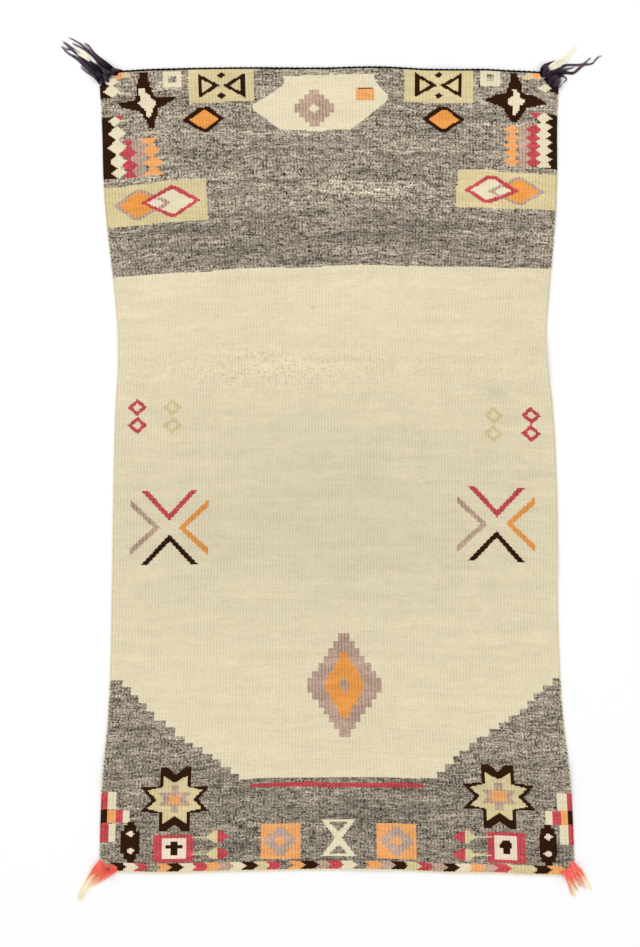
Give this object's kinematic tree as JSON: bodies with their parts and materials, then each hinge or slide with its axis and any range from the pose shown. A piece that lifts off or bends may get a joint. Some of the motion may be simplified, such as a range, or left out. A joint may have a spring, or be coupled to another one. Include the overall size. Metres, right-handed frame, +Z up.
{
  "type": "navajo saddle blanket",
  "caption": "Flat tapestry-woven wool saddle blanket with twined edge cords and a tassel on each corner, laid out on a surface.",
  "frame": {"origin": "centre of the cloth's underside, on the surface that the blanket lies on", "axes": "+X across the blanket to the right, +Y along its length towards the end with the dark cord and navy tassels, +Z up out of the face"},
  "size_m": [0.8846, 1.4176, 0.0099],
  "materials": {
    "tapestry_wool": "matt handspun wool, weft-faced tapestry: cream field and heathered grey bands with red, orange, lilac, pale yellow and dark brown figures",
    "dark_cord_wool": "two-ply twined cord of navy-black wool",
    "cream_cord_wool": "two-ply twined cord of cream wool",
    "navy_tassel_wool": "loose wavy locks of navy-black wool with one pale lock",
    "coral_tassel_wool": "loose fine locks of coral wool that fade to pale yellow tips"
  },
  "bodies": {
    "root": {"woven_cloth": "tapestry_wool", "end_cord_top": "dark_cord_wool", "end_cord_bottom": "cream_cord_wool", "side_cord_left": "cream_cord_wool", "side_cord_right": "cream_cord_wool", "tassel_top_left": "navy_tassel_wool", "tassel_top_right": "navy_tassel_wool", "tassel_bottom_left": "coral_tassel_wool", "tassel_bottom_right": "coral_tassel_wool"}
  },
  "joints": []
}
